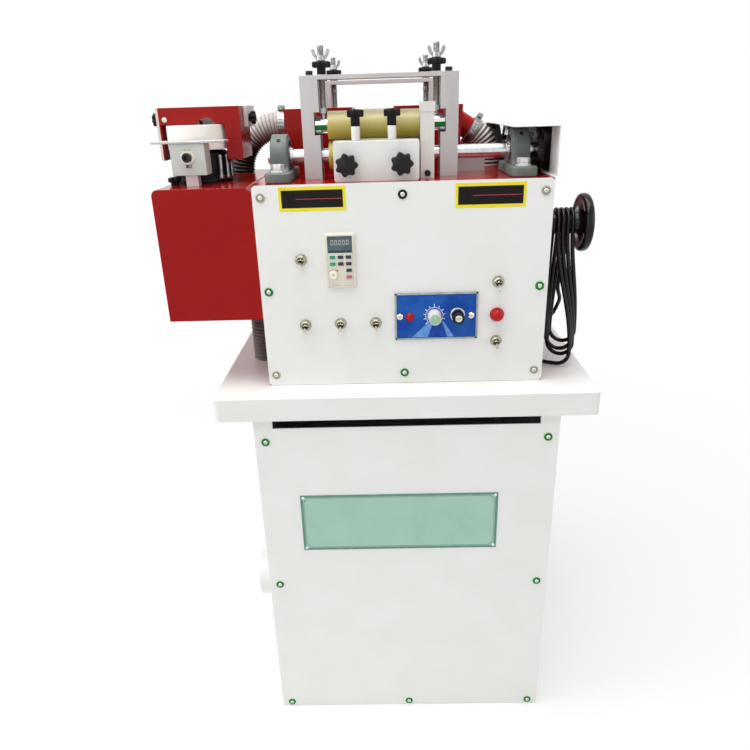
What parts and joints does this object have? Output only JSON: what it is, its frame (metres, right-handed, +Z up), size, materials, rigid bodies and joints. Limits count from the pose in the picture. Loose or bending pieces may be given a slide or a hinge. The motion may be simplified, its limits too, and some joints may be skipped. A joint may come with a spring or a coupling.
{
  "type": "leather edge polishing machine",
  "caption": "Floor-standing leather strap edge polisher: cabinet, table, feed head with pressed rollers, dust covers, side polishing wheel station and suction hoses.",
  "frame": {"origin": "on the floor under the middle of the table", "axes": "+Z up, +X to the right seen from the front, +Y to the back"},
  "size_m": [0.6733, 0.52, 1.13],
  "materials": {
    "white_paint": "satin powder coat",
    "red_paint": "gloss powder coat",
    "bright_steel": "ground",
    "galvanised": "zinc coated sheet",
    "aluminium": "milled",
    "cast_grey": "grey hammer paint",
    "amber_polyurethane": "cast polyurethane sleeve on steel",
    "black_plastic": "moulded",
    "black_motor": "black enamel",
    "oiled_chain": "oiled",
    "beige_plastic": "moulded",
    "blue_face": "printed plate",
    "grey_plastic": "moulded",
    "red_lens": "clear tinted",
    "hose_grey": "ribbed soft vinyl",
    "white_felt": "pressed wool",
    "cord_rubber": "matt sheath"
  },
  "bodies": {
    "machine": {"cabinet_shell": "white_paint", "cabinet_front_panel": "white_paint", "table_top": "white_paint", "dust_ducts": "white_paint", "dust_blower": "galvanised", "head_box": "red_paint", "head_front_panel": "white_paint", "panel_screws": "bright_steel", "toggle_bodies": "bright_steel", "keypad_case": "beige_plastic", "controller_case": "blue_face", "lamp_lenses": "red_lens", "pillow_blocks": "cast_grey", "feed_frames": "aluminium", "feed_motor": "black_motor", "drive_chain": "oiled_chain", "chain_guard": "white_paint", "guide_bed": "aluminium", "guide_plate": "white_paint", "support_bars": "aluminium", "dust_covers": "red_paint", "suction_hoses": "hose_grey", "hose_clamps": "bright_steel", "clamp_knobs": "black_plastic", "station_box": "red_paint", "hood_bracket": "aluminium", "polish_motors": "black_motor", "cord_leads": "cord_rubber", "cord_coil": "cord_rubber", "cord_gland": "black_plastic", "cord_plug": "black_plastic"},
    "blower_impeller": {"blower_impeller": "galvanised"},
    "toggle_lever_1": {"toggle_lever_1": "bright_steel"},
    "toggle_lever_2": {"toggle_lever_2": "bright_steel"},
    "toggle_lever_3": {"toggle_lever_3": "bright_steel"},
    "toggle_lever_4": {"toggle_lever_4": "bright_steel"},
    "toggle_lever_5": {"toggle_lever_5": "bright_steel"},
    "toggle_lever_6": {"toggle_lever_6": "bright_steel"},
    "keypad_dial": {"keypad_dial": "beige_plastic"},
    "controller_knob": {"controller_knob": "grey_plastic"},
    "front_lower_roller": {"front_lower_roller": "amber_polyurethane"},
    "rear_lower_roller": {"rear_lower_roller": "amber_polyurethane"},
    "motor_sprocket": {"motor_sprocket": "bright_steel"},
    "front_knob_left": {"front_knob_left": "black_plastic"},
    "front_knob_right": {"front_knob_right": "black_plastic"},
    "front_lift": {"front_lift": "bright_steel"},
    "front_upper_roller": {"front_upper_roller": "amber_polyurethane"},
    "rear_knob_left": {"rear_knob_left": "black_plastic"},
    "rear_knob_right": {"rear_knob_right": "black_plastic"},
    "rear_lift": {"rear_lift": "bright_steel"},
    "rear_upper_roller": {"rear_upper_roller": "amber_polyurethane"},
    "guide_pin_left": {"guide_pin_left": "aluminium"},
    "guide_pin_right": {"guide_pin_right": "aluminium"},
    "station_wheel": {"station_wheel": "white_felt"},
    "station_hood": {"station_hood": "red_paint"},
    "station_guide": {"station_guide": "aluminium"},
    "handwheel": {"handwheel": "black_plastic"},
    "polish_carriage": {"polish_carriage": "bright_steel"},
    "polish_wheel_left": {"polish_wheel_left": "white_felt"},
    "polish_wheel_right": {"polish_wheel_right": "white_felt"}
  },
  "joints": [
    {"name": "impeller_spin", "type": "hinge", "parent": "machine", "child": "blower_impeller", "pos_m": [-0.07, -0.18, 0.32], "axis": [0, 1, 0], "continuous": true},
    {"name": "toggle_1_flip", "type": "hinge", "parent": "machine", "child": "toggle_lever_1", "pos_m": [-0.151, -0.211, 0.841], "axis": [-1, 0, 0], "range_deg": [0, 40]},
    {"name": "toggle_2_flip", "type": "hinge", "parent": "machine", "child": "toggle_lever_2", "pos_m": [-0.151, -0.211, 0.74], "axis": [-1, 0, 0], "range_deg": [0, 40]},
    {"name": "toggle_3_flip", "type": "hinge", "parent": "machine", "child": "toggle_lever_3", "pos_m": [-0.097, -0.211, 0.741], "axis": [-1, 0, 0], "range_deg": [0, 40]},
    {"name": "toggle_4_flip", "type": "hinge", "parent": "machine", "child": "toggle_lever_4", "pos_m": [-0.043, -0.211, 0.741], "axis": [-1, 0, 0], "range_deg": [0, 40]},
    {"name": "toggle_5_flip", "type": "hinge", "parent": "machine", "child": "toggle_lever_5", "pos_m": [0.141, -0.211, 0.801], "axis": [-1, 0, 0], "range_deg": [0, 40]},
    {"name": "toggle_6_flip", "type": "hinge", "parent": "machine", "child": "toggle_lever_6", "pos_m": [0.141, -0.211, 0.708], "axis": [-1, 0, 0], "range_deg": [0, 40]},
    {"name": "keypad_dial_turn", "type": "hinge", "parent": "machine", "child": "keypad_dial", "pos_m": [-0.1035, -0.211, 0.819], "axis": [0, 1, 0], "range_deg": [0, 270]},
    {"name": "controller_knob_turn", "type": "hinge", "parent": "machine", "child": "controller_knob", "pos_m": [0.046, -0.209, 0.751], "axis": [0, 1, 0], "range_deg": [-120, 150]},
    {"name": "front_feed_spin", "type": "hinge", "parent": "machine", "child": "front_lower_roller", "pos_m": [-0.03, -0.122, 0.9813], "axis": [1, 0, 0], "continuous": true},
    {"name": "rear_feed_spin", "type": "hinge", "parent": "machine", "child": "rear_lower_roller", "pos_m": [-0.03, 0.138, 0.9813], "axis": [1, 0, 0], "continuous": true},
    {"name": "motor_spin", "type": "hinge", "parent": "machine", "child": "motor_sprocket", "pos_m": [0.2045, -0.016, 0.868], "axis": [1, 0, 0], "continuous": true},
    {"name": "front_knob_left_turn", "type": "hinge", "parent": "machine", "child": "front_knob_left", "pos_m": [-0.113, -0.122, 1.1], "axis": [0, 0, 1], "range_deg": [0, 1728]},
    {"name": "front_knob_right_turn", "type": "hinge", "parent": "machine", "child": "front_knob_right", "pos_m": [0.053, -0.122, 1.1], "axis": [0, 0, 1], "range_deg": [0, 1728]},
    {"name": "front_lift_slide", "type": "slide", "parent": "machine", "child": "front_lift", "axis": [0, 0, 1], "range_m": [0, 0.006]},
    {"name": "front_pressure_spin", "type": "hinge", "parent": "front_lift", "child": "front_upper_roller", "pos_m": [-0.03, -0.122, 1.023], "axis": [1, 0, 0], "continuous": true},
    {"name": "rear_knob_left_turn", "type": "hinge", "parent": "machine", "child": "rear_knob_left", "pos_m": [-0.113, 0.138, 1.1], "axis": [0, 0, 1], "range_deg": [0, 1728]},
    {"name": "rear_knob_right_turn", "type": "hinge", "parent": "machine", "child": "rear_knob_right", "pos_m": [0.053, 0.138, 1.1], "axis": [0, 0, 1], "range_deg": [0, 1728]},
    {"name": "rear_lift_slide", "type": "slide", "parent": "machine", "child": "rear_lift", "axis": [0, 0, 1], "range_m": [0, 0.006]},
    {"name": "rear_pressure_spin", "type": "hinge", "parent": "rear_lift", "child": "rear_upper_roller", "pos_m": [-0.03, 0.138, 1.023], "axis": [1, 0, 0], "continuous": true},
    {"name": "guide_pin_left_slide", "type": "slide", "parent": "machine", "child": "guide_pin_left", "axis": [1, 0, 0], "range_m": [-0.012, 0.008]},
    {"name": "guide_pin_right_slide", "type": "slide", "parent": "machine", "child": "guide_pin_right", "axis": [1, 0, 0], "range_m": [-0.008, 0.012]},
    {"name": "station_wheel_spin", "type": "hinge", "parent": "machine", "child": "station_wheel", "pos_m": [-0.311, -0.09, 1.011], "axis": [0, 0, 1], "continuous": true},
    {"name": "station_hood_tilt", "type": "hinge", "parent": "machine", "child": "station_hood", "pos_m": [-0.301, -0.07, 1.037], "axis": [-1, 0, 0], "range_deg": [0, 30]},
    {"name": "station_guide_slide", "type": "slide", "parent": "machine", "child": "station_guide", "axis": [0, 0, 1], "range_m": [-0.006, 0.01]},
    {"name": "handwheel_turn", "type": "hinge", "parent": "machine", "child": "handwheel", "pos_m": [0.279, -0.136, 0.873], "axis": [1, 0, 0], "range_deg": [-1200, 1200]},
    {"name": "carriage_slide", "type": "slide", "parent": "machine", "child": "polish_carriage", "axis": [1, 0, 0], "range_m": [-0.01, 0.01]},
    {"name": "left_wheel_spin", "type": "hinge", "parent": "machine", "child": "polish_wheel_left", "pos_m": [-0.111, 0.008, 1.002], "axis": [0, 0, 1], "continuous": true},
    {"name": "right_wheel_spin", "type": "hinge", "parent": "polish_carriage", "child": "polish_wheel_right", "pos_m": [0.033, 0.008, 1.002], "axis": [0, 0, 1], "continuous": true}
  ],
  "couplings": [
    {"joint": "rear_feed_spin", "follows": "front_feed_spin", "ratio": 1},
    {"joint": "motor_spin", "follows": "front_feed_spin", "ratio": 1},
    {"joint": "front_knob_left_turn", "follows": "front_lift_slide", "rad_per_m": 5026.5},
    {"joint": "front_knob_right_turn", "follows": "front_lift_slide", "rad_per_m": 5026.5},
    {"joint": "rear_knob_left_turn", "follows": "rear_lift_slide", "rad_per_m": 5026.5},
    {"joint": "rear_knob_right_turn", "follows": "rear_lift_slide", "rad_per_m": 5026.5},
    {"joint": "handwheel_turn", "follows": "carriage_slide", "rad_per_m": -2094.4}
  ]
}
